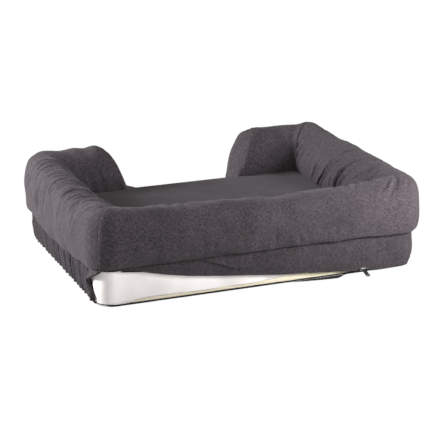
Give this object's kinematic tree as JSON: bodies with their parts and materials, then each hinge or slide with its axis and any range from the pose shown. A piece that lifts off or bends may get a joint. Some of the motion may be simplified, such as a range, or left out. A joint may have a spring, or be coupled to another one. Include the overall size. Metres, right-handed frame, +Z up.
{
  "type": "pet bed",
  "caption": "Rectangular sofa-style pet bed with a stuffed bolster open at the front, a foam core and a zipped removable cover shown partly unzipped.",
  "frame": {"origin": "middle of the base's underside, on the floor", "axes": "+X to the right seen from the entrance, -Y front with the entrance gap, +Y rear with the zip, +Z up"},
  "size_m": [0.926, 0.7073, 0.2507],
  "materials": {
    "bolster_cloth": "heathered woven upholstery cloth, charcoal",
    "panel_cloth": "smooth woven cloth, dark charcoal",
    "base_cloth": "black backing cloth",
    "liner_cloth": "white stretch liner",
    "memory_foam": "open-cell foam, cream",
    "support_foam": "open-cell foam, beige",
    "fibre_filling": "loose polyester fibre, white",
    "zip_tape": "woven zip tape, black",
    "zip_coil": "nylon coil, black",
    "zip_metal": "gunmetal plating"
  },
  "bodies": {
    "root": {"bottom_panel": "base_cloth", "support_foam": "support_foam", "memory_foam": "memory_foam", "foam_liner": "liner_cloth", "sleeping_panel": "panel_cloth", "front_band": "bolster_cloth", "left_band": "bolster_cloth", "right_band": "bolster_cloth", "rear_band": "bolster_cloth", "rear_flap": "bolster_cloth", "rear_bolster_cover": "bolster_cloth", "rear_bolster_filling": "fibre_filling", "right_arm_cover": "bolster_cloth", "right_arm_filling": "fibre_filling", "left_arm_cover": "bolster_cloth", "left_arm_filling": "fibre_filling", "right_return_cover": "bolster_cloth", "right_return_filling": "fibre_filling", "left_return_cover": "bolster_cloth", "left_return_filling": "fibre_filling", "zip_tape_lower": "zip_tape", "zip_coil_lower": "zip_coil", "zip_stop": "zip_metal"},
    "slider": {"zip_slider": "zip_metal"},
    "pull": {"zip_pull": "zip_metal"},
    "hem": {"zip_tape_upper": "zip_tape", "zip_coil_upper": "zip_coil"}
  },
  "joints": [
    {"name": "zip_slide", "type": "slide", "parent": "root", "child": "slider", "axis": [1, 0, 0], "range_m": [0, 0.663]},
    {"name": "pull_swing", "type": "hinge", "parent": "slider", "child": "pull", "pos_m": [-0.279, 0.3284, 0.01], "axis": [1, 0, 0], "range_deg": [0, 104]},
    {"name": "hem_drop", "type": "hinge", "parent": "root", "child": "hem", "pos_m": [-0.2715, 0.3226, 0.01], "axis": [0, 1, 0], "range_deg": [0, 6.78], "deforming": ["rear_flap"]}
  ],
  "couplings": [
    {"joint": "hem_drop", "follows": "zip_slide", "rad_per_m": 0.1759}
  ]
}
